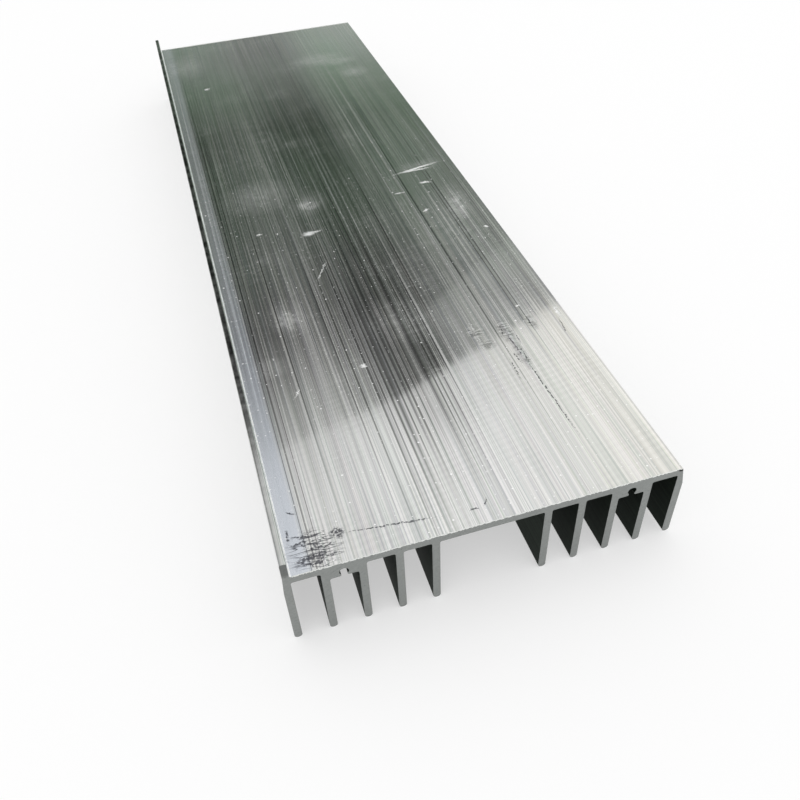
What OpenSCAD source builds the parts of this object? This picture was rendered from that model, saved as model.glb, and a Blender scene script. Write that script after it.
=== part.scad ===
// Extruded aluminium heat sink, one solid.
// X runs across the fins, Y along the extrusion and Z upwards. The origin is at the
// centre of the footprint, and the fins stand on the plane z = 0.
// The section is drawn flat in X and Z, then drawn out along Y like the real profile.

/* [Length] */
// Length of the sawn piece
length = 300; // [50:5:1000]

/* [Base plate] */
// Thickness of the plate between the fins
plate_t = 1.9; // [1.2:0.1:4]

/* [Fins] */
// Number of fins in each of the two banks, the outer one included
bank_fins = 5; // [3:1:10]
// Spacing of the fins in a bank, centre to centre
fin_pitch = 8; // [6:0.5:14]
// Spacing of the two innermost fins, centre to centre, across the open channel
channel_pitch = 25.6; // [12:0.1:60]
// Depth of the fins below the plate
fin_depth = 20.4; // [10:0.1:40]
// Thickness of an inner fin
fin_t = 1.75; // [1.2:0.05:2.5]
// Thickness of the two outer fins
outer_fin_t = 1.8; // [1.4:0.05:2.5]
// Radius in the corners where metal meets metal
corner_r = 0.5; // [0.2:0.1:0.8]

/* [Side edges] */
// Height of the lip above the plate, on the left side only
lip_h = 4.7; // [1.5:0.1:12]
// Distance of the lip's outer face inside the outer fin's face
lip_inset = 0.3; // [0:0.05:0.4]
// Radius along the two top edges of the lip
lip_edge_r = 0.4; // [0.1:0.1:0.4]
// Distance of the plate's right edge inside the outer fin's face
edge_inset = 0.9; // [0:0.1:1.2]
// Depth below the plate's top face at which the outer faces stop leaning in
lean_depth = 5; // [3:0.5:8]

/* [Screw ports] */
// Bore of a screw port, which takes the core of an end-cap screw
port_d = 2.1; // [1.8:0.1:3]
// Width of the slot along the underside of a port
port_neck = 1.4; // [1:0.1:1.6]
// Metal below the bore of a port
port_jaw = 0.3; // [0.3:0.1:1.5]
// Radius on the two lips of the slot
port_mouth_r = 0.3; // [0.1:0.1:0.4]

/* [Hidden] */
$fn = 64;

// How far shapes that join run into each other
lap = 0.4;

plate_top = fin_depth + plate_t;
plate_under = fin_depth;
half_w = channel_pitch / 2 + (bank_fins - 1) * fin_pitch + outer_fin_t / 2;
inner_face = half_w - outer_fin_t;

// A port sits midway between the second and third fins from each side
port_x = channel_pitch / 2 + (bank_fins - 2.5) * fin_pitch;
port_z = plate_under - port_d / 2;
pad_under = plate_under - port_d - port_jaw;

// What is left between two faces that meet at the origin, when a circle of
// radius r is rolled into their corner. The faces run along +X and +Z.
module corner_web(r) {
    difference() {
        translate([-lap, -lap])
            square(r + lap);
        translate([r, r])
            circle(r);
    }
}

// Rounded metal in an inside corner at (x, z), whose walls run away from it in
// the directions sx and sz
module corner_fill(x, z, sx, sz) {
    translate([x, z])
        mirror([sx < 0 ? 1 : 0, 0])
            mirror([0, sz < 0 ? 1 : 0])
                corner_web(corner_r);
}

// One inner fin with a round tip and a rounded root on each side. A side that
// faces a pad meets metal at pad_under, and the others at plate_under.
module fin(x, root_left, root_right) {
    translate([x, fin_t / 2])
        circle(d = fin_t);
    translate([x - fin_t / 2, fin_t / 2])
        square([fin_t, plate_under + lap - fin_t / 2]);
    corner_fill(x - fin_t / 2, root_left, -1, -1);
    corner_fill(x + fin_t / 2, root_right, 1, -1);
}

// Inner fins of the bank on the positive side, counted outwards from the channel
module bank() {
    for (i = [0 : bank_fins - 2]) {
        before_pad = i == bank_fins - 3;
        after_pad = i == bank_fins - 2;
        fin(
            channel_pitch / 2 + i * fin_pitch,
            after_pad ? pad_under : plate_under,
            before_pad ? pad_under : plate_under
        );
    }
}

// Outer fin of the positive side. Its outer face leans in by inset up to the plate.
module outer_fin(inset) {
    tip_r = outer_fin_t / 2;
    translate([half_w - tip_r, tip_r])
        circle(tip_r);
    polygon([
        [inner_face, tip_r],
        [half_w, tip_r],
        [half_w, plate_top - lean_depth],
        [half_w - inset, plate_top],
        [inner_face, plate_top]
    ]);
    corner_fill(inner_face, plate_under, -1, -1);
}

// Upstanding lip, drawn for the positive side
module lip() {
    outer_face = half_w - lip_inset;
    top = plate_top + lip_h;
    translate([inner_face, plate_top - lap])
        square([outer_face - inner_face, lip_h + lap - lip_edge_r]);
    translate([inner_face + lip_edge_r, plate_top])
        square([outer_face - inner_face - 2 * lip_edge_r, lip_h]);
    for (x = [inner_face + lip_edge_r, outer_face - lip_edge_r])
        translate([x, top - lip_edge_r])
            circle(lip_edge_r);
    corner_fill(inner_face, plate_top, -1, 1);
}

// Thick pad between two fins, which carries a screw port
module pad() {
    translate([port_x - fin_pitch / 2, pad_under])
        square([fin_pitch, plate_under + lap - pad_under]);
}

// Open-sided round port: a bore with a slot to the underside and rounded slot edges
module port() {
    translate([port_x, port_z])
        circle(d = port_d);
    translate([port_x - port_neck / 2, pad_under - lap])
        square([port_neck, port_z - pad_under + lap]);
    for (side = [0, 1])
        translate([port_x, 0])
            mirror([side, 0])
                translate([port_neck / 2, pad_under])
                    corner_web(port_mouth_r);
}

// The whole section, with x across and the upward direction along y
module section() {
    difference() {
        union() {
            translate([-inner_face - lap, plate_under])
                square([2 * (inner_face + lap), plate_t]);
            for (side = [0, 1])
                mirror([side, 0]) {
                    bank();
                    pad();
                }
            outer_fin(edge_inset);
            mirror([1, 0]) {
                outer_fin(lip_inset);
                lip();
            }
        }
        for (side = [0, 1])
            mirror([side, 0])
                port();
    }
}

module heat_sink() {
    color("#c9ccca")
        translate([0, length / 2, 0])
            rotate([90, 0, 0])
                linear_extrude(length)
                    section();
}

heat_sink();
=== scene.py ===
"""Looks of the extruded aluminium heat sink: mill finish, saw-cut ends, ragged saw burrs,
and a plain studio."""
import math

import bmesh
import bpy
from mathutils import Euler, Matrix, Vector, noise


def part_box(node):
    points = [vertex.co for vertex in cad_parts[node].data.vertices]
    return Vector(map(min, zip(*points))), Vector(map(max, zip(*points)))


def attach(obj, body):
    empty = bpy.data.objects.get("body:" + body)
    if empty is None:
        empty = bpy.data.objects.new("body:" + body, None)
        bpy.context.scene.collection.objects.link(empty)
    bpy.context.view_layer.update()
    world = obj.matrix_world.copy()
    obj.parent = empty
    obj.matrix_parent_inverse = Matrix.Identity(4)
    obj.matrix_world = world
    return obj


bl_info = {
    "name": "Extruded heat sink finish",
    "version": (1, 0, 0),
    "blender": (4, 5, 0),
    "location": "3D View > Sidebar > Heat Sink",
    "description": "Gives an extruded heat sink its mill finish, saw-cut ends and burrs",
    "category": "Object",
}

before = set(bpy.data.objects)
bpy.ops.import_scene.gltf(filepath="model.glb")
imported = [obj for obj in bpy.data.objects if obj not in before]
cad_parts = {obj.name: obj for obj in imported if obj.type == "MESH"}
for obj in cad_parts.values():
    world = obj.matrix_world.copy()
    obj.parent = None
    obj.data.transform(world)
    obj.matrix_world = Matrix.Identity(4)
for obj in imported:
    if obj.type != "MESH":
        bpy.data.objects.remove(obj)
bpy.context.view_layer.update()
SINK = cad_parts["heat_sink"]
LOW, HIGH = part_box("heat_sink")
MM = 0.001

# The section's own sizes, measured down from the lip's top and in from the sides
LIP_HEIGHT = 4.7 * MM
PLATE_TOP = HIGH.z - LIP_HEIGHT
PLATE_THICKNESS = 1.9 * MM
LIP_INNER_X = LOW.x + 1.8 * MM
RIGHT_EDGE_X = HIGH.x - 0.9 * MM

# Where the looks change, in millimetres across the plate in x and along it in y
BAND_REACH = 46.0
LINES_FADE_Y = (0.0, 75.0)
SPECKS_FADE_Y = (-10.0, 80.0)
FILM_EVENS_Y = (50.0, 90.0)
LIP_BAND_X = (-40.3, -38.4)
LIP_BAND_BLUE_Y = (-90.0, 0.0)
LIP_EDGE_X = (-44.35, -43.95)
LIP_WORN_Y = (-128.0, -96.0)

# Colours that the wear and the studio have, as sRGB hex. Three stand for painted light: the
# bluish glow beside the lip, the white of the highlight along the lip's inner corner, which
# pale wear shares, and the near-black shade between the fins.
LIP_GLOW_BLUE = "#cdd3dc"
DARKER_TONE = "#1c1f1d"
PALE_WEAR_AND_HIGHLIGHT = "#ffffff"
SCRIBBLE = "#35363f"
FIN_GAP_SHADE = ("#18201a", "#2a352c")
TORN_METAL = ("#d2d6d1", "#ffffff")
PAPER = "#fafafa"

# The saw burr, and the chip that the saw left at the near right corner
BURR_THICKNESS = 0.16 * MM
BURR_WAVER = 0.07 * MM
BURR_CUTS = 420
CHIP_AT = (44.5, LOW.y / MM, 22.1)

# The studio, in metres: the paper's half size, the lamp, and the camera's place and its turn
# in degrees
PAPER_HALF = 6.0
PAPER_GAP = 0.02 * MM
SOFTBOX_SIZE = 0.9
SOFTBOX_AT = (0.25, -0.05, 0.95)
CAMERA_AT = (-0.04414, -0.24617, 0.15928)
CAMERA_TURN = (46.116, 2.362, -16.995)

# The card that the metal mirrors, in metres: its height over the floor, its corners from
# above, how far the room's wall stands from the middle, and its shades by distance beyond
# the middle
CARD_HEIGHT = 1.2
CARD_CORNERS = (
    (-1.3, 0.45),
    (1.15, 0.45),
    (1.15, 4.05),
    (-1.3, 4.05),
)
WALL_REACH = 4.2
# Its near part is white. The dark part starts at the further of two lines, each given by
# how it rises with x and where it crosses x = 0.
CARD_DARK_LINES = ((0.252, 1.0128), (0.4213, 0.9595))
CARD_EDGE_BLUR = 0.004
SHADES_REACH = 5.0
CARD_SHADES = (
    (1.0, "#7c7d7c"),
    (1.4, "#656a65"),
    (1.75, "#5b635c"),
    (2.1, "#545c55"),
    (2.6, "#4b574c"),
    (3.0, "#617263"),
    (3.3, "#76857a"),
    (4.2, "#8c998f"),
)
# Where the dark part is greyer, by centre and half size
CARD_GREYER = (((0.38, 3.25), (0.25, 0.75)), ((0.85, 3.7), (0.36, 0.75)))
CARD_GREYER_LOSS = 0.6


def srgb(code):
    """A hex sRGB colour as linear red, green, blue and alpha."""
    values = [int(code[i:i + 2], 16) / 255 for i in (1, 3, 5)]
    linear = [v / 12.92 if v <= 0.04045 else ((v + 0.055) / 1.055) ** 2.4 for v in values]
    return (*linear, 1.0)


def add(tree, kind, inputs=None, **settings):
    """Adds a node with its settings. An input is a value, a socket, or a node whose first
    output is used."""
    node = tree.nodes.new(kind)
    for key, value in settings.items():
        setattr(node, key, value)
    for key, value in (inputs or {}).items():
        if isinstance(value, bpy.types.Node):
            value = value.outputs[0]
        if isinstance(value, bpy.types.NodeSocket):
            tree.links.new(value, node.inputs[key])
        else:
            node.inputs[key].default_value = value
    return node


def calculate(tree, operation, *values):
    """One step of arithmetic on values or sockets, by its operation's name."""
    return add(tree, "ShaderNodeMath", dict(enumerate(values)), operation=operation)


def remap(tree, value, start=0.0, end=1.0, first=0.0, last=1.0, **settings):
    """A value whose range from start to end becomes first to last, held at both ends."""
    return add(
        tree,
        "ShaderNodeMapRange",
        {"Value": value, "From Min": start, "From Max": end, "To Min": first, "To Max": last},
        **settings,
    )


def mix_values(tree, share, one, other):
    """A number between one and the other, by the other's share."""
    return add(tree, "ShaderNodeMix", {0: share, 2: one, 3: other}, data_type="FLOAT")


def mix_colours(tree, share, one, other, blend="MIX"):
    """A colour between one and the other, by the other's share and the blend's rule."""
    mixed = add(
        tree,
        "ShaderNodeMix",
        {0: share, 6: one, 7: other},
        data_type="RGBA",
        blend_type=blend,
    )
    return mixed.outputs[2]


def new_material(name):
    """A material with an empty node tree, and the tree."""
    material = bpy.data.materials.new(name)
    material.use_nodes = True
    material.node_tree.nodes.clear()
    return material, material.node_tree


def fill_ramp(ramp, stops):
    """Sets a ramp's stops, each a position from 0 to 1 and a colour."""
    while len(ramp.elements) < len(stops):
        ramp.elements.new(0.5)
    for element, (position, colour) in zip(ramp.elements, stops):
        element.position = position
        element.color = colour


def new_object(name, mesh):
    """An object in the scene, made from a bmesh that is then freed."""
    data = bpy.data.meshes.new(name)
    mesh.to_mesh(data)
    mesh.free()
    made = bpy.data.objects.new(name, data)
    bpy.context.scene.collection.objects.link(made)
    return made


class HEATSINK_PG_finish(bpy.types.PropertyGroup):
    """The finish's colours and sizes"""

    metal_colour: bpy.props.StringProperty(
        name="Metal colour",
        description="Colour of the mill finish on its ridges, as sRGB hex",
        default="#ebecea",
    )
    line_colour: bpy.props.StringProperty(
        name="Line colour",
        description="Colour of the mill finish in its lines, as sRGB hex",
        default="#bfc0be",
    )
    # The cut colour is partly the cut's own grey and partly painted shade of the end faces
    cut_colour_and_shade: bpy.props.StringProperty(
        name="Cut colour",
        description="Base colour of the saw-cut ends, as sRGB hex",
        default="#989b99",
    )
    line_spacing: bpy.props.FloatProperty(
        name="Die line spacing",
        description="Typical distance between die lines",
        default=0.36 * MM,
        min=0.1 * MM,
        max=5 * MM,
        precision=5,
        unit="LENGTH",
    )
    burr_height: bpy.props.FloatProperty(
        name="Burr height",
        description="Height of the saw burr above the plate",
        default=0.14 * MM,
        min=0.0,
        max=1 * MM,
        precision=5,
        unit="LENGTH",
    )


class HEATSINK_PG_studio(bpy.types.PropertyGroup):
    """The studio's light and lens"""

    lens: bpy.props.FloatProperty(
        name="Lens",
        description="Focal length on a 36 mm wide sensor",
        default=36.3564,
        unit="CAMERA",
    )
    surround: bpy.props.FloatProperty(
        name="Surround",
        description="Strength of the even white light from all round",
        default=1.0,
        min=0.0,
    )
    key_power: bpy.props.FloatProperty(
        name="Key light",
        description="Power of the soft lamp overhead",
        default=0.5,
        min=0.0,
        subtype="POWER",
    )


# The die's own bands across the plate: x in millimetres, how much duller than the polished
# middle, and how strong its lines are, both from 0 to 1
DIE_BANDS = (
    (-46.0, 0.7, 0.5),
    (-43.2, 0.8, 0.5),
    (-42.3, 0.55, 0.5),
    (-41.4, 0.95, 0.5),
    (-39.9, 0.75, 0.6),
    (-38.3, 0.2, 0.9),
    (-34.0, 0.42, 0.9),
    (-27.0, 0.85, 0.8),
    (-18.0, 0.78, 0.9),
    (-12.0, 0.42, 1.0),
    (-8.5, 0.10, 1.0),
    (-2.0, 0.05, 1.0),
    (5.0, 0.04, 1.0),
    (9.4, 0.18, 0.9),
    (10.4, 0.55, 0.7),
    (21.5, 0.72, 0.7),
    (23.6, 0.72, 0.7),
    (24.0, 0.35, 0.6),
    (25.9, 0.35, 0.6),
    (26.3, 0.75, 0.7),
    (46.0, 0.85, 0.7),
)

# Marks on the plate: centre x and y, half sizes along x and y in millimetres before they
# are turned, and the turn in degrees
BRIGHT_LINES = (
    (-41.5, -40, 0.5, 170, 0),
    (-40.3, -60, 0.25, 120, 0),
    (-18.2, -40, 0.3, 140, 0),
    (-10.0, -50, 0.3, 110, 0),
    (-0.4, -40, 0.3, 120, 0),
    (2.4, -60, 0.25, 90, 0),
    (22.5, -10, 0.55, 150, 0),
    (18.6, 10, 0.3, 120, 0),
)
DEEP_LINES = (
    (-39.2, -60, 0.16, 200, 0),
    (-38.1, -60, 0.3, 200, 0),
    (-36.7, -60, 0.16, 160, 0),
    (-30.4, -70, 0.3, 80, 0),
    (-18.5, -80, 0.3, 75, 0),
    (-15.9, -90, 0.3, 70, 0),
    (-12.4, -95, 0.4, 75, 0),
    (-11.1, -80, 0.3, 85, 0),
    (-8.3, -90, 0.75, 66, 0),
    (-9.6, -100, 0.45, 58, 0),
    (-7.0, -95, 0.3, 60, 0),
    (-5.6, -78, 0.5, 80, 0),
    (-4.5, -100, 0.35, 50, 0),
    (2.5, -95, 0.3, 50, 0),
    (5.0, -85, 0.3, 60, 0),
    (7.0, -80, 0.25, 60, 0),
    (-3.0, -80, 0.3, 85, 0),
    (-1.6, -45, 0.35, 90, 0),
    (1.1, -78, 0.7, 68, 0),
    (3.6, -90, 0.3, 60, 0),
    (9.7, -50, 0.35, 70, 0),
    (23.9, -30, 0.35, 110, 0),
    (32.8, -40, 0.3, 70, 0),
    (33.9, -40, 0.35, 70, 0),
)
PALE_MARKS = (
    (31.0, 1.2, 10.5, 0.7, 12),
    (30.5, 0.1, 7.5, 0.6, 2),
    (31.2, -9.0, 2.6, 0.9, -6),
    (25.8, -26.4, 1.5, 0.7, 50),
    (21.0, -12.9, 2.2, 0.4, 0),
    (-11.6, -26.2, 4.0, 0.6, 2),
    (-13.0, -26.6, 2.3, 1.9, 0),
    (-13.6, -47.8, 6.6, 0.24, 62),
    (-13.0, -93.0, 1.1, 1.0, 20),
    (-31.4, -97.5, 2.6, 0.25, 60),
    (40.5, -42.2, 0.9, 0.7, 40),
    (-28.0, -21.6, 1.2, 0.7, 10),
    (-22.4, -23.2, 0.9, 0.5, 70),
    (-29.4, 97.5, 1.5, 1.3, 0),
    (33.5, -83.0, 0.6, 0.5, 0),
    (42.8, -89.0, 0.5, 3.0, 0),
)
SMUDGES = (
    (-9.0, -8.5, 7.0, 9.0, -30),
    (-24.0, 2.0, 15.0, 12.0, 10),
    (-27.5, -67.0, 6.5, 10.0, 8),
    (36.5, -27.0, 6.5, 16.0, -8),
    (33.0, 92.0, 7.0, 7.0, 0),
    (-34.0, 125.0, 9.0, 16.0, 0),
    (33.0, 3.0, 11.0, 4.0, 6),
    (32.5, -41.0, 14.0, 32.0, 0),
    (-36.0, -86.0, 6.0, 5.0, 0),
    (1.0, -78.0, 12.0, 12.0, 0),
)
SMEARS = (
    (36.6, -27.0, 4.4, 11.0, -8),
    (-9.6, -9.6, 4.4, 3.6, -30),
    (-28.0, -67.5, 3.4, 5.5, 8),
    (21.0, 111.0, 13.0, 8.0, 5),
    (27.0, 106.5, 11.0, 5.5, -4),
)
DARK_MARKS = (
    (-32.2, -142.0, 2.3, 1.3, 0),
    (-32.0, -142.2, 1.1, 2.2, 10),
    (-38.2, -146.6, 4.6, 1.1, 3),
    (-38.0, -148.2, 4.0, 0.6, -4),
    (-36.6, -144.6, 4.4, 0.45, -7),
    (-35.4, -147.2, 4.2, 0.35, 9),
    (-40.5, -142.4, 3.2, 0.35, 5),
    (-39.4, -140.9, 3.9, 0.3, -12),
    (-42.3, -139.6, 0.5, 2.4, 0),
    (-20.6, -143.9, 12.6, 0.3, -7),
    (-2.6, -145.6, 1.9, 0.3, -6),
    (0.2, -144.6, 1.5, 0.3, 60),
    (27.4, -118.0, 18.5, 0.28, 92),
    (25.4, -92.0, 3.0, 0.2, 86),
    (26.5, -98.5, 6.0, 0.26, 93),
    (27.4, -103.0, 4.6, 0.2, 88),
    (23.0, -107.0, 5.0, 0.2, 88),
    (28.4, -96.0, 3.2, 0.2, 84),
    (25.2, -103.5, 3.0, 0.3, 95),
    (34.0, -90.4, 2.6, 0.24, 84),
    (41.6, -95.0, 5.0, 0.2, 84),
    (-40.6, -134.0, 1.6, 0.25, -35),
)
# The die's lines are sharpest in the first of these, and the metal is greyer in the second
SHARP = ((0.0, -85.0, 120.0, 48.0, 0),)
GREYED = ((-1.0, -113.0, 15.0, 17.0, 0),)
SCRIBBLED = ((-37.6, -145.2, 6.8, 6.2, 0), (-37.4, -147.4, 5.6, 2.6, 0))
SCUFFED = (
    (18.6, -90.0, 2.6, 3.0, 0),
    (19.8, -95.8, 2.8, 2.4, 0),
    (26.4, -92.5, 2.4, 6.5, 0),
    (26.8, -102.5, 1.8, 7.0, 0),
    (34.4, -91.0, 1.6, 4.0, 0),
)


def patches(tree, at, marks, rim):
    """1 inside the marks and 0 outside, over a rim that is a share of their half size."""
    found = None
    for x, y, half_x, half_y, turn in marks:
        local = add(
            tree,
            "ShaderNodeMapping",
            {
                "Vector": at,
                "Location": (x, y, PLATE_TOP / MM),
                "Rotation": (0.0, 0.0, math.radians(turn)),
                "Scale": (half_x, half_y, 0.6),
            },
            vector_type="TEXTURE",
        )
        mark = add(tree, "ShaderNodeTexGradient", {"Vector": local}, gradient_type="SPHERICAL")
        mark = mark.outputs["Fac"]
        if found is not None:
            mark = calculate(tree, "MAXIMUM", found, mark)
        found = mark
    return remap(tree, found, 0.0, rim).outputs[0]


def hairlines(tree, at, detail, full, gone):
    """Thin wandering lines where a noise crosses its middle, whole as far as full from it
    and faded out at gone."""
    field = add(tree, "ShaderNodeTexNoise", {"Vector": at, "Scale": 1.0, "Detail": detail})
    off = calculate(tree, "SUBTRACT", field.outputs["Fac"], 0.5)
    off = calculate(tree, "ABSOLUTE", off)
    return remap(tree, off, full, gone, first=1.0, last=0.0)


def ragged_places(tree, mm):
    """Two sets of coordinates that give marks ragged rims: torn by up to 0.45 mm, and frayed
    by up to 1.3 mm."""
    moved = []
    for scale, detail, roughness, span_x, span_y in (
        (1.1, 2.0, 0.5, 0.9, 0.9),
        (0.9, 3.0, 0.7, 2.6, 1.6),
    ):
        waver = add(
            tree,
            "ShaderNodeTexNoise",
            {"Vector": mm, "Scale": scale, "Detail": detail, "Roughness": roughness},
        )
        waver = add(
            tree,
            "ShaderNodeVectorMath",
            {
                0: waver.outputs["Color"],
                1: (span_x, span_y, 0.0),
                2: (-span_x / 2, -span_y / 2, 0.0),
            },
            operation="MULTIPLY_ADD",
        )
        moved.append(add(tree, "ShaderNodeVectorMath", {0: mm, 1: waver}, operation="ADD"))
    return moved


def die_bands(tree, x):
    """How dull each of the die's bands is, and how strongly lined."""
    share = remap(tree, x, -BAND_REACH, BAND_REACH)
    bands = add(tree, "ShaderNodeValToRGB", {0: share})
    stops = [
        ((at_x + BAND_REACH) / (2 * BAND_REACH), (dull, strong, 0.0, 1.0))
        for at_x, dull, strong in DIE_BANDS
    ]
    fill_ramp(bands.color_ramp, stops)
    dullness, strength, _ = add(tree, "ShaderNodeSeparateColor", {0: bands}).outputs
    return dullness, strength


def die_lines(tree, mm, y, strength, spacing):
    """How light each die line is, about a middle of 0.5, and a colour at random for each.
    They are fine across the section and all but unbroken along it. Real ones are about
    0.1 mm apart, and they are drawn coarser so that they show."""
    layers = []
    # A layer's line width in spacings, and the length of a line in millimetres
    for width, run in ((1.0, 110), (2.8, 150), (9.0, 260)):
        across = 1 / (width * spacing)
        at = add(
            tree,
            "ShaderNodeVectorMath",
            {0: mm, 1: (across, 1 / run, across)},
            operation="MULTIPLY",
        )
        layer = add(
            tree,
            "ShaderNodeTexNoise",
            {"Vector": at, "Scale": 1.0, "Detail": 1.0, "Roughness": 0.6},
        )
        layers.append(layer)
    fine, middle, broad = (layer.outputs["Fac"] for layer in layers)
    lines = mix_values(tree, 0.34, fine, middle)
    lines = mix_values(tree, 0.12, lines, broad)
    # They are worn fainter towards the far end, and sharpest where the plate was handled least
    near, far = LINES_FADE_Y
    kept = remap(tree, y, near, far, first=1.3, last=0.43, interpolation_type="SMOOTHSTEP")
    kept = calculate(tree, "MULTIPLY", kept, strength)
    sharp = patches(tree, mm, SHARP, 0.5)
    sharp = calculate(tree, "MULTIPLY_ADD", sharp, 0.22, 1.0)
    kept = calculate(tree, "MULTIPLY", kept, sharp)
    centred = calculate(tree, "SUBTRACT", lines, 0.5)
    lines = calculate(tree, "MULTIPLY_ADD", centred, kept, 0.5)
    return lines, layers[0].outputs["Color"]


def dark_strokes(tree, mm, torn):
    """The blotted dark marks, and the scribbles in the near left corner, which are strokes
    across the plate, a few millimetres long and under one apart."""
    scribbles = None
    for scale, thin in (((0.12, 0.7, 0.3), 0.024), ((0.27, 1.15, 0.3), 0.027)):
        at = add(tree, "ShaderNodeVectorMath", {0: mm, 1: scale}, operation="MULTIPLY")
        strokes = hairlines(tree, at, 1.5, thin / 3, thin)
        if scribbles is not None:
            strokes = calculate(tree, "MAXIMUM", scribbles, strokes)
        scribbles = strokes
    scribbled = patches(tree, torn, SCRIBBLED, 0.35)
    scribbles = calculate(tree, "MULTIPLY", scribbles, scribbled)
    blots = add(tree, "ShaderNodeTexNoise", {"Vector": mm, "Scale": 1.7, "Detail": 2.0})
    blots = remap(tree, blots.outputs["Fac"], 0.4, 0.56, first=0.15)
    dark = patches(tree, torn, DARK_MARKS, 0.7)
    dark = calculate(tree, "MULTIPLY", dark, blots)
    dark = remap(tree, dark, 0.12, 0.66)
    dark = calculate(tree, "MAXIMUM", dark, scribbles)
    return calculate(tree, "MULTIPLY", dark, 0.86)


def white_specks(tree, mm, y, on_top):
    """Where the skin is pricked: a few plain specks and many faint ones, up to 0.6 mm across,
    and hardly any towards the far end."""
    specks = None
    # Cells to a millimetre, a speck's reach in its cell, the share of cells that have one,
    # and its brightness
    for scale, size, share, brightest in ((0.26, 0.08, 0.9, 1.2), (0.58, 0.11, 0.75, 1.25)):
        cells = add(
            tree,
            "ShaderNodeTexVoronoi",
            {"Vector": mm, "Scale": scale, "Randomness": 1.0},
            voronoi_dimensions="2D",
        )
        kind = add(tree, "ShaderNodeSeparateColor", {0: cells.outputs["Color"]})
        reach = remap(tree, kind.outputs[0], 1.0 - share, 1.0, last=size)
        found = calculate(tree, "SUBTRACT", reach, cells.outputs["Distance"])
        found = remap(tree, found, 0.0, size / 3)
        bright = calculate(tree, "POWER", kind.outputs[1], 1.5)
        bright = calculate(tree, "MULTIPLY", bright, brightest)
        found = calculate(tree, "MULTIPLY", found, bright)
        if specks is not None:
            found = calculate(tree, "ADD", specks, found)
        specks = found
    near, far = SPECKS_FADE_Y
    fewer = remap(tree, y, near, far, first=1.0, last=0.12)
    fewer = calculate(tree, "MULTIPLY", fewer, on_top)
    return calculate(tree, "MULTIPLY", specks, fewer)


def hair_scratches(tree, mm, haze):
    """Hair scratches across the lines, mostly where the plate is hazed."""
    at = add(
        tree,
        "ShaderNodeMapping",
        {"Vector": mm, "Rotation": (0.0, 0.0, math.radians(8)), "Scale": (14.0, 1.3, 10.0)},
        vector_type="TEXTURE",
    )
    hairs = hairlines(tree, at, 3.0, 0.0, 0.045)
    scratched = remap(tree, haze, first=0.25)
    return calculate(tree, "MULTIPLY", hairs, scratched)


def wiped_ripples(tree, mm):
    """Faint ripples left by wiping, which slant across the plate in patches, about 2 mm
    apart."""
    at = add(
        tree,
        "ShaderNodeMapping",
        {"Vector": mm, "Rotation": (0.0, 0.0, math.radians(-81))},
        vector_type="TEXTURE",
    )
    ripples = add(
        tree,
        "ShaderNodeTexWave",
        {"Vector": at, "Scale": 0.16, "Distortion": 2.5, "Detail": 2.0, "Detail Scale": 0.4},
    )
    wiped = add(tree, "ShaderNodeTexNoise", {"Vector": mm, "Scale": 0.05, "Detail": 2.0})
    wiped = remap(tree, wiped.outputs["Fac"], 0.4, 0.6)
    return calculate(tree, "MULTIPLY", ripples.outputs["Fac"], wiped)


def scuffs(tree, torn, scuffed):
    """Short scratches across the lines inside the scuffed patches: the light and the dark."""
    at = add(tree, "ShaderNodeVectorMath", {0: torn, 1: (0.5, 2.4, 1.0)}, operation="MULTIPLY")
    field = add(tree, "ShaderNodeTexNoise", {"Vector": at, "Scale": 1.0, "Detail": 2.0})
    kinds = []
    for full in (0.62, 0.4):
        kind = remap(tree, field.outputs["Fac"], 0.5, full)
        kinds.append(calculate(tree, "MULTIPLY", kind, scuffed))
    return kinds


def lip_wear(tree, mm, place):
    """The lip's top is coloured darker in patches, darkest along its outer edge and least at its
    near end. The corner where the lip meets the plate is painted white, a painted highlight
    along the lip's inner edge."""
    x, y, z = place
    on_lip = remap(tree, z, PLATE_TOP / MM + 3.3, PLATE_TOP / MM + 4.2)
    outermost, inner = LIP_EDGE_X
    outer = remap(tree, x, outermost, inner, first=0.93, last=0.5)
    near, far = LIP_WORN_Y
    worn = remap(tree, y, near, far, first=0.22)
    patchy = add(tree, "ShaderNodeTexNoise", {"Vector": mm, "Scale": 0.35, "Detail": 3.0})
    patchy = remap(tree, patchy.outputs["Fac"], 0.35, 0.6, first=0.6)
    lip_top_darker = on_lip
    for share in (outer, patchy, worn):
        lip_top_darker = calculate(tree, "MULTIPLY", lip_top_darker, share)
    # Painted highlight: a thin strip where the lip meets the plate, coloured white in patches
    corner = calculate(tree, "COMPARE", x, LIP_INNER_X / MM + 0.16, 0.2)
    above = calculate(tree, "GREATER_THAN", z, PLATE_TOP / MM + 0.01)
    for share in (above, patchy):
        corner = calculate(tree, "MULTIPLY", corner, share)
    return lip_top_darker, corner


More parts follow.
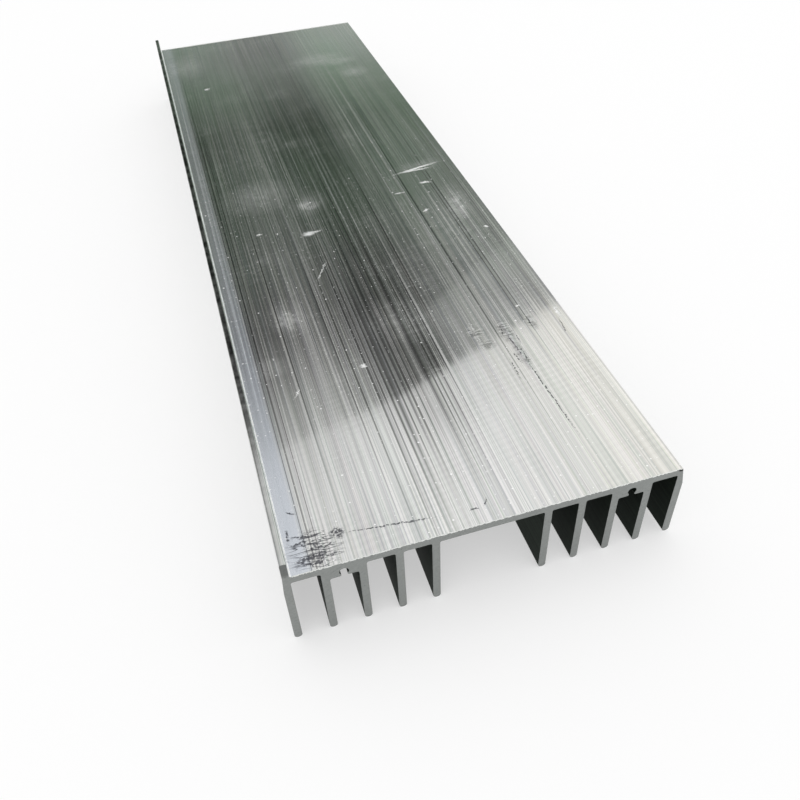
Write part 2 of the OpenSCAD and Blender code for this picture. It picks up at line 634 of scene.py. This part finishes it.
def saw_cut(tree, mm, z, cut_colour_and_shade):
    """The saw-cut end: matt grey metal, whose grey is partly its own and partly painted shade of
    the end faces, with slanting tooth marks a third of a millimetre apart, a mottle and small
    pits, darker on the lip, and chipped at one corner. Returns its colour and its relief."""
    at = add(
        tree,
        "ShaderNodeMapping",
        {"Vector": mm, "Rotation": (0.0, math.radians(-32), 0.0), "Scale": (7.0, 1.0, 0.34)},
        vector_type="TEXTURE",
    )
    teeth = add(
        tree, "ShaderNodeTexNoise", {"Vector": at, "Scale": 1.0, "Detail": 3.0, "Roughness": 0.6}
    )
    mottle = add(
        tree, "ShaderNodeTexNoise", {"Vector": mm, "Scale": 1.6, "Detail": 4.0, "Roughness": 0.7}
    )
    sawn = mix_values(tree, 0.6, teeth.outputs["Fac"], mottle.outputs["Fac"])
    shade = remap(tree, sawn, 0.32, 0.68, first=0.82, last=1.12)
    pits = remap(tree, mottle.outputs["Fac"], 0.3, 0.36, first=0.55)
    lip_front = remap(tree, z, PLATE_TOP / MM + 0.2, PLATE_TOP / MM + 1.2, first=1.0, last=0.6)
    chip = add(
        tree,
        "ShaderNodeMapping",
        {"Vector": mm, "Location": CHIP_AT, "Scale": (0.8, 1.0, 0.6)},
        vector_type="TEXTURE",
    )
    chip = add(tree, "ShaderNodeTexGradient", {"Vector": chip}, gradient_type="SPHERICAL")
    chip = remap(tree, chip.outputs["Fac"], 0.0, 0.3, first=1.0, last=0.1)
    for share in (pits, lip_front, chip):
        shade = calculate(tree, "MULTIPLY", shade, share)
    colour = mix_colours(tree, 1.0, srgb(cut_colour_and_shade), shade, "MULTIPLY")
    return colour, sawn


def mill_finish(finish):
    """Mill-finish 6063 aluminium, straight from the extrusion press and not anodised. The die
    leaves fine lines along the length, so the shine is mirror-like along them and broken into
    light and dark lines across them. The ends are saw-cut and matt."""
    material, tree = new_material("Mill_finish_aluminium_6063")
    coordinates = add(tree, "ShaderNodeTexCoord").outputs["Object"]
    mm = add(tree, "ShaderNodeVectorMath", {0: coordinates, "Scale": 1 / MM}, operation="SCALE")
    place = add(tree, "ShaderNodeSeparateXYZ", {0: mm}).outputs
    x, y, z = place
    on_top = calculate(tree, "COMPARE", z, PLATE_TOP / MM, 0.3)

    # What the die leaves
    dullness, strength = die_bands(tree, x)
    lines, line_tints = die_lines(tree, mm, y, strength, finish.line_spacing / MM)
    bright_lines = patches(tree, mm, BRIGHT_LINES, 0.6)
    deep_lines = patches(tree, mm, DEEP_LINES, 0.6)

    # What handling leaves: haze, smudges, scratches and marks
    haze = add(
        tree, "ShaderNodeTexNoise", {"Vector": mm, "Scale": 0.045, "Detail": 4.0, "Roughness": 0.65}
    )
    haze = remap(tree, haze.outputs["Fac"], 0.5, 0.72)
    grain = add(
        tree, "ShaderNodeTexNoise", {"Vector": mm, "Scale": 0.4, "Detail": 4.0, "Roughness": 0.65}
    )
    grain = remap(tree, grain.outputs["Fac"], 0.34, 0.64, first=0.4)
    torn, frayed = ragged_places(tree, mm)
    smudged = patches(tree, mm, SMUDGES, 0.9)
    smudged = calculate(tree, "MULTIPLY", smudged, grain)
    smeared = patches(tree, frayed, SMEARS, 0.65)
    smeared = calculate(tree, "MULTIPLY", smeared, grain)
    scuffed = patches(tree, torn, SCUFFED, 0.5)
    light_scuffs, dark_scuffs = scuffs(tree, torn, scuffed)
    hairs = hair_scratches(tree, mm, haze)
    wipes = wiped_ripples(tree, mm)
    pale = patches(tree, frayed, PALE_MARKS, 0.8)
    specks = white_specks(tree, mm, y, on_top)
    dark = dark_strokes(tree, mm, torn)
    lip_top_darker, corner = lip_wear(tree, mm, place)
    # The band beside the lip: rougher, filmier, and painted with a glow thrown off the lip's wall
    outer, inner = LIP_BAND_X
    beside_lip = remap(tree, x, outer, inner, first=1.0, last=0.0)
    beside_lip = calculate(tree, "MULTIPLY", beside_lip, on_top)

    # Ridges between the lines scatter the light, and what lies between them is polished
    ridges = calculate(tree, "MULTIPLY_ADD", dullness, 0.05, lines)
    ridges = remap(tree, ridges, 0.46, 0.7)
    ridges = calculate(tree, "POWER", ridges, 1.6)
    not_deep = calculate(tree, "MULTIPLY_ADD", deep_lines, -0.75, 1.0)
    ridges = calculate(tree, "MULTIPLY", ridges, not_deep)
    roughened = calculate(tree, "MULTIPLY_ADD", ridges, 0.13, 0.042)
    # A thin film of oxide and dust scatters light wherever the metal is dull. Each kind of
    # mark adds its own roughness and film.
    film = calculate(tree, "MULTIPLY", ridges, 0.12)
    for marks, rougher, filmier in (
        (dullness, 0.0, 0.075),
        (bright_lines, 0.12, 0.1),
        (beside_lip, 0.05, 0.165),
        (haze, 0.02, 0.035),
        (smudged, 0.06, 0.19),
        (smeared, 0.06, 0.2),
        (hairs, 0.06, 0.1),
        (scuffed, 0.08, 0.06),
        (light_scuffs, 0.25, 0.3),
        (pale, 0.4, 0.42),
        (specks, 0.2, 0.4),
    ):
        roughened = calculate(tree, "MULTIPLY_ADD", marks, rougher, roughened)
        film = calculate(tree, "MULTIPLY_ADD", marks, filmier, film)
    # Towards the far end the film evens out
    near, far = FILM_EVENS_Y
    evened = remap(tree, y, near, far, last=0.035)
    bare = calculate(tree, "SUBTRACT", 1.0, dullness)
    film = calculate(tree, "MULTIPLY_ADD", evened, bare, film)
    polished = calculate(tree, "SUBTRACT", 1.0, film)
    roughened = mix_values(tree, corner, roughened, 0.42)

    # Each line has its own shade and a faint tint
    shade = remap(tree, lines, 0.36, 0.64)
    shade = calculate(tree, "MULTIPLY_ADD", wipes, -0.12, shade)
    metal = mix_colours(tree, shade, srgb(finish.line_colour), srgb(finish.metal_colour))
    metal = mix_colours(tree, 0.2, metal, line_tints, "SOFT_LIGHT")

    # Wear then colours it, with some painted light: a painted bluish glow beside the lip, dark in
    # deep lines, scuffs and a greyer patch, darker along the lip's top, white where the skin is
    # worn pale or pricked, a painted white highlight along the lip's inner corner, and near black
    # where it is scribbled on
    # Painted light: the band beside the lip is tinted pale blue, stronger towards the near end
    near, far = LIP_BAND_BLUE_Y
    bluish = remap(tree, y, near, far, first=0.8, last=0.4)
    bluish = calculate(tree, "MULTIPLY", beside_lip, bluish)
    greyed = patches(tree, mm, GREYED, 0.9)
    scuffed_grey = calculate(tree, "MULTIPLY", scuffed, grain)
    darkened = calculate(tree, "MULTIPLY", deep_lines, 0.62)
    for marks, share in ((scuffed_grey, 0.14), (greyed, 0.13), (dark_scuffs, 0.4)):
        darkened = calculate(tree, "MULTIPLY_ADD", marks, share, darkened)
    darkened = calculate(tree, "MAXIMUM", darkened, lip_top_darker)
    pale_and_highlight = calculate(tree, "MAXIMUM", corner, pale)
    pale_and_highlight = calculate(tree, "MAXIMUM", pale_and_highlight, specks)
    for share, code in (
        (bluish, LIP_GLOW_BLUE),
        (darkened, DARKER_TONE),
        (pale_and_highlight, PALE_WEAR_AND_HIGHLIGHT),
        (dark, SCRIBBLE),
    ):
        metal = mix_colours(tree, share, metal, srgb(code))

    # Between the fins the metal is painted near black and made rough: painted shade of the
    # narrow gaps between the fins
    inward = calculate(tree, "ABSOLUTE", x)
    inward = calculate(tree, "LESS_THAN", inward, -LIP_INNER_X / MM + 0.02)
    below = calculate(tree, "LESS_THAN", z, (PLATE_TOP - PLATE_THICKNESS) / MM + 0.02)
    between = calculate(tree, "MULTIPLY", inward, below)
    gap_shade = mix_colours(tree, shade, srgb(FIN_GAP_SHADE[0]), srgb(FIN_GAP_SHADE[1]))
    metal = mix_colours(tree, between, metal, gap_shade)
    roughened = mix_values(tree, between, roughened, 0.75)
    polished = calculate(tree, "MAXIMUM", polished, between)

    # The ends are cut
    from_middle = calculate(tree, "ABSOLUTE", y)
    cut = calculate(tree, "GREATER_THAN", from_middle, HIGH.y / MM - 0.04)
    cut_metal, sawn = saw_cut(tree, mm, z, finish.cut_colour_and_shade)
    colour = mix_colours(tree, cut, metal, cut_metal)
    roughness = mix_values(tree, cut, roughened, 0.58)
    metallic = calculate(tree, "MAXIMUM", polished, cut)
    relief = mix_values(tree, cut, lines, sawn)
    relief_strength = mix_values(tree, cut, 0.04, 0.5)
    bump = add(
        tree,
        "ShaderNodeBump",
        {"Strength": relief_strength, "Distance": 0.02 * MM, "Height": relief},
    )
    shader = add(
        tree,
        "ShaderNodeBsdfPrincipled",
        {"Base Color": colour, "Roughness": roughness, "Metallic": metallic, "Normal": bump},
    )
    add(tree, "ShaderNodeOutputMaterial", {"Surface": shader})
    return material


def floor_finish():
    """Matt white seamless paper. Half of what is seen of it is plain white, in the metal as
    well as from the camera, and the other half keeps the object's soft shadow."""
    material, tree = new_material("Seamless_paper_white")
    rays = add(tree, "ShaderNodeLightPath").outputs
    seen = calculate(tree, "ADD", rays["Is Camera Ray"], rays["Is Glossy Ray"])
    seen = calculate(tree, "MAXIMUM", seen, rays["Is Transmission Ray"])
    share = calculate(tree, "MULTIPLY", seen, 0.5)
    matt = add(tree, "ShaderNodeBsdfDiffuse", {"Color": srgb(PAPER)})
    white = add(tree, "ShaderNodeEmission", {"Color": (1.0, 1.0, 1.0, 1.0), "Strength": 1.0})
    paper = add(tree, "ShaderNodeMixShader", {0: share, 1: matt, 2: white})
    add(tree, "ShaderNodeOutputMaterial", {"Surface": paper})
    return material


def card_dark_light(tree, x, y, past_first):
    """How strongly the dark part shines: more to the right, and near its edge on either
    side."""
    right = remap(tree, x, 0.44, 0.62, last=0.65)
    left_edge = remap(tree, past_first, 0.0, 0.39, first=1.0, last=0.0)
    to_left = remap(tree, x, 0.16, 0.42, first=1.0, last=0.0)
    left_edge = calculate(tree, "MULTIPLY", left_edge, to_left)
    right_edge = calculate(tree, "MULTIPLY_ADD", x, -0.697, y)
    right_edge = remap(tree, right_edge, 1.05, 1.075, first=1.3, last=0.0)
    to_right = remap(tree, x, 0.42, 0.55)
    right_edge = calculate(tree, "MULTIPLY", right_edge, to_right)
    lighter = calculate(tree, "MULTIPLY_ADD", left_edge, 1.95, right)
    for more in (right_edge, 1.0):
        lighter = calculate(tree, "ADD", lighter, more)
    return lighter


def card_dark_colour(tree, place, y):
    """The dark part's green-grey, by distance, with clouds of a faint tint. It is plain grey
    near its edge, and greyer in places."""
    reach = remap(tree, y, 0.0, SHADES_REACH)
    shades = add(tree, "ShaderNodeValToRGB", {0: reach})
    fill_ramp(shades.color_ramp, [(far / SHADES_REACH, srgb(code)) for far, code in CARD_SHADES])
    clouds = add(tree, "ShaderNodeTexNoise", {"Vector": place, "Scale": 2.0, "Detail": 2.0})
    clouds = remap(tree, clouds.outputs["Fac"], 0.4, 0.62)
    tint = mix_colours(tree, clouds, srgb("#fff8fc"), srgb("#f7fff6"))
    colour = mix_colours(tree, 1.0, shades.outputs[0], tint, "MULTIPLY")
    kept = remap(tree, y, 1.35, 1.8)
    kept = remap(tree, kept, first=0.2)
    for centre, half in CARD_GREYER:
        at = add(
            tree,
            "ShaderNodeMapping",
            {"Vector": place, "Location": (*centre, CARD_HEIGHT), "Scale": (*half, 1.0)},
            vector_type="TEXTURE",
        )
        patch = add(tree, "ShaderNodeTexGradient", {"Vector": at}, gradient_type="SPHERICAL")
        patch = remap(tree, patch.outputs["Fac"], 0.0, 0.6, first=1.0, last=1.0 - CARD_GREYER_LOSS)
        kept = calculate(tree, "MULTIPLY", kept, patch)
    return add(tree, "ShaderNodeHueSaturation", {"Saturation": kept, "Color": colour})


def card_white(tree, x, y, inside):
    """The card's white part, greyer beside the dark part and to the left, and a little
    brighter and warmer to the right. Its near border is plain, so that it doesn't show."""
    grey = remap(tree, inside, -0.2, 0.0, first=1.0, last=0.87)
    leftward = remap(tree, x, 0.12, 0.2, first=0.87)
    rightward = remap(tree, x, 0.55, 0.8, first=1.0, last=1.15)
    for share in (leftward, rightward):
        grey = calculate(tree, "MULTIPLY", grey, share)
    plain = remap(tree, y, 0.5, 0.75, first=1.0, last=0.0)
    grey = mix_values(tree, plain, grey, 1.0)
    warm = remap(tree, x, 0.5, 0.75)
    whites = mix_colours(tree, warm, srgb("#ffffff"), srgb("#fffdf8"))
    return add(tree, "ShaderNodeEmission", {"Color": whites, "Strength": grey})


def card_finish():
    """The card and the wall that the metal mirrors, white and then dark green-grey, with a
    crisp edge between. Its coordinates are in metres."""
    material, tree = new_material("Card_green_grey")
    place = add(tree, "ShaderNodeTexCoord").outputs["Object"]
    x, y, _ = add(tree, "ShaderNodeSeparateXYZ", {0: place}).outputs
    past = []
    for rise, crossing in CARD_DARK_LINES:
        line = calculate(tree, "MULTIPLY_ADD", x, rise, crossing)
        past.append(calculate(tree, "SUBTRACT", y, line))
    inside = calculate(tree, "MINIMUM", past[0], past[1])
    dark = add(
        tree,
        "ShaderNodeEmission",
        {
            "Color": card_dark_colour(tree, place, y),
            "Strength": card_dark_light(tree, x, y, past[0]),
        },
    )
    white = card_white(tree, x, y, inside)
    edge = remap(tree, inside, -CARD_EDGE_BLUR, CARD_EDGE_BLUR)
    surface = add(tree, "ShaderNodeMixShader", {0: edge, 1: white, 2: dark})
    add(tree, "ShaderNodeOutputMaterial", {"Surface": surface})
    return material


def studio_world(studio):
    """An even white surround, which is also what the metal mirrors past the card."""
    world = bpy.data.worlds.new("Studio")
    world.use_nodes = True
    tree = world.node_tree
    tree.nodes.clear()
    white = add(
        tree, "ShaderNodeBackground", {"Color": (1.0, 1.0, 1.0, 1.0), "Strength": studio.surround}
    )
    add(tree, "ShaderNodeOutputWorld", {"Surface": white})
    return world


def dark_card():
    """A card held level over the floor beyond the object, and the low wall round the room."""
    mesh = bmesh.new()
    corners = [mesh.verts.new((x, y, CARD_HEIGHT)) for x, y in CARD_CORNERS]
    mesh.faces.new(corners)
    wall = bmesh.ops.create_cone(
        mesh, segments=48, radius1=WALL_REACH, radius2=WALL_REACH, depth=CARD_HEIGHT
    )["verts"]
    bmesh.ops.translate(mesh, vec=Vector((0.0, 0.0, CARD_HEIGHT / 2)), verts=wall)
    card = new_object("dark_card", mesh)
    card.data.materials.append(card_finish())
    # Only the metal's reflections meet it
    card.visible_camera = False
    card.visible_diffuse = False
    card.visible_transmission = False
    card.visible_shadow = False
    return card


def paper_floor():
    """The floor, a hair below the fins' tips."""
    mesh = bmesh.new()
    bmesh.ops.create_grid(mesh, x_segments=8, y_segments=8, size=PAPER_HALF)
    bmesh.ops.translate(mesh, vec=Vector((0.0, 0.0, LOW.z - PAPER_GAP)), verts=mesh.verts)
    floor = new_object("paper_floor", mesh)
    floor.data.materials.append(floor_finish())
    return floor


def softbox(studio):
    """The soft lamp overhead, which the metal doesn't mirror."""
    lamp = bpy.data.lights.new("Key_softbox", "AREA")
    lamp.shape = "RECTANGLE"
    lamp.size, lamp.size_y = SOFTBOX_SIZE, SOFTBOX_SIZE
    lamp.energy = studio.key_power
    key = bpy.data.objects.new("Key_softbox", lamp)
    key.location = SOFTBOX_AT
    key.rotation_euler = (-key.location).to_track_quat("-Z", "Y").to_euler()
    key.visible_glossy = False
    return key


def studio_camera(studio):
    """The camera, in front of the near left corner and above it."""
    camera = bpy.data.cameras.new("Camera")
    camera.sensor_width = 36.0
    camera.lens = studio.lens
    camera.clip_start, camera.clip_end = 0.01, 50.0
    eye = bpy.data.objects.new("Camera", camera)
    eye.location = CAMERA_AT
    eye.rotation_euler = Euler([math.radians(angle) for angle in CAMERA_TURN], "XYZ")
    return eye


def ragged_burr(name, y_end, outwards, height, seed):
    """The thin ragged lip of metal that a saw leaves along an edge of the plate's end."""
    start, end = LIP_INNER_X + 0.5 * MM, RIGHT_EDGE_X - 0.1 * MM
    mesh = bmesh.new()
    bmesh.ops.create_cube(mesh, size=1.0)
    bmesh.ops.scale(mesh, vec=Vector((end - start, BURR_THICKNESS, 2 * height)), verts=mesh.verts)
    centre = Vector(((start + end) / 2, y_end - outwards * BURR_THICKNESS / 2, PLATE_TOP))
    bmesh.ops.translate(mesh, vec=centre, verts=mesh.verts)
    long_edges = [edge for edge in mesh.edges if abs(edge.verts[0].co.x - edge.verts[1].co.x) > MM]
    bmesh.ops.subdivide_edges(mesh, edges=long_edges, cuts=BURR_CUTS, use_grid_fill=True)
    for vert in mesh.verts:
        if vert.co.z <= PLATE_TOP:
            continue
        at = Vector((vert.co.x / MM, seed, 0.0))
        rise = 0.6 + 0.6 * noise.noise(at * 0.9) + 0.9 * noise.noise(at * 4.3)
        vert.co.z = PLATE_TOP + height * min(max(rise, 0.04), 1.0)
        vert.co.y += -outwards * BURR_WAVER * noise.noise(at * 2.3 + Vector((0.0, 9.0, 0.0)))
    bmesh.ops.recalc_face_normals(mesh, faces=mesh.faces)
    return new_object(name, mesh)


def burr_finish():
    """Torn bright aluminium, where the saw leaves the cut, with a grain finer than a
    millimetre."""
    material, tree = new_material("Torn_aluminium_bright")
    place = add(tree, "ShaderNodeTexCoord")
    grain = add(
        tree,
        "ShaderNodeTexNoise",
        {"Vector": place.outputs["Object"], "Scale": 1.4 / MM, "Detail": 2.0},
    )
    colour = mix_colours(tree, grain.outputs["Fac"], srgb(TORN_METAL[0]), srgb(TORN_METAL[1]))
    rough = remap(tree, grain.outputs["Fac"], first=0.25, last=0.5)
    shader = add(
        tree,
        "ShaderNodeBsdfPrincipled",
        {"Base Color": colour, "Roughness": rough, "Metallic": 0.85},
    )
    add(tree, "ShaderNodeOutputMaterial", {"Surface": shader})
    return material


class HEATSINK_OT_mill_finish(bpy.types.Operator):
    """Gives the extrusion its mill finish and saw-cut ends"""

    bl_idname = "heatsink.mill_finish"
    bl_label = "Mill Finish"

    def execute(self, context):
        finish = context.scene.heatsink_finish
        SINK.data.materials.clear()
        SINK.data.materials.append(mill_finish(finish))
        return {"FINISHED"}


class HEATSINK_OT_saw_burrs(bpy.types.Operator):
    """Builds the ragged saw burr along the plate's top edge at each end"""

    bl_idname = "heatsink.saw_burrs"
    bl_label = "Saw Burrs"

    def execute(self, context):
        finish = context.scene.heatsink_finish
        material = burr_finish()
        for name, y_end, outwards, seed in (
            ("saw_burr_front", LOW.y, -1, 3.7),
            ("saw_burr_back", HIGH.y, 1, 8.2),
        ):
            piece = ragged_burr(name, y_end, outwards, finish.burr_height, seed)
            piece.data.materials.append(material)
            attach(piece, "root")
        return {"FINISHED"}


class HEATSINK_OT_stage(bpy.types.Operator):
    """Sets up the floor, the card, the light and the camera"""

    bl_idname = "heatsink.stage"
    bl_label = "Studio"

    def execute(self, context):
        scene = context.scene
        studio = scene.heatsink_studio
        scene.view_settings.view_transform = "Standard"
        scene.world = studio_world(studio)
        paper_floor()
        dark_card()
        scene.collection.objects.link(softbox(studio))
        eye = studio_camera(studio)
        scene.collection.objects.link(eye)
        scene.camera = eye
        return {"FINISHED"}


class HEATSINK_PT_panel(bpy.types.Panel):
    """Lists the heat sink's steps"""

    bl_label = "Heat Sink"
    bl_idname = "HEATSINK_PT_panel"
    bl_space_type = "VIEW_3D"
    bl_region_type = "UI"
    bl_category = "Heat Sink"

    def draw(self, context):
        layout = self.layout
        finish = context.scene.heatsink_finish
        studio = context.scene.heatsink_studio
        layout.prop(finish, "metal_colour")
        layout.prop(finish, "line_colour")
        layout.prop(finish, "cut_colour_and_shade")
        layout.prop(finish, "line_spacing")
        layout.operator(HEATSINK_OT_mill_finish.bl_idname)
        layout.prop(finish, "burr_height")
        layout.operator(HEATSINK_OT_saw_burrs.bl_idname)
        layout.prop(studio, "lens")
        layout.prop(studio, "surround")
        layout.prop(studio, "key_power")
        layout.operator(HEATSINK_OT_stage.bl_idname)


CLASSES = (
    HEATSINK_PG_finish,
    HEATSINK_PG_studio,
    HEATSINK_OT_mill_finish,
    HEATSINK_OT_saw_burrs,
    HEATSINK_OT_stage,
    HEATSINK_PT_panel,
)


def register():
    for cls in CLASSES:
        bpy.utils.register_class(cls)
    bpy.types.Scene.heatsink_finish = bpy.props.PointerProperty(type=HEATSINK_PG_finish)
    bpy.types.Scene.heatsink_studio = bpy.props.PointerProperty(type=HEATSINK_PG_studio)


def unregister():
    del bpy.types.Scene.heatsink_studio
    del bpy.types.Scene.heatsink_finish
    for cls in reversed(CLASSES):
        bpy.utils.unregister_class(cls)


def main():
    register()
    bpy.ops.heatsink.mill_finish()
    bpy.ops.heatsink.saw_burrs()
    bpy.ops.heatsink.stage()


if __name__ == "__main__":
    main()
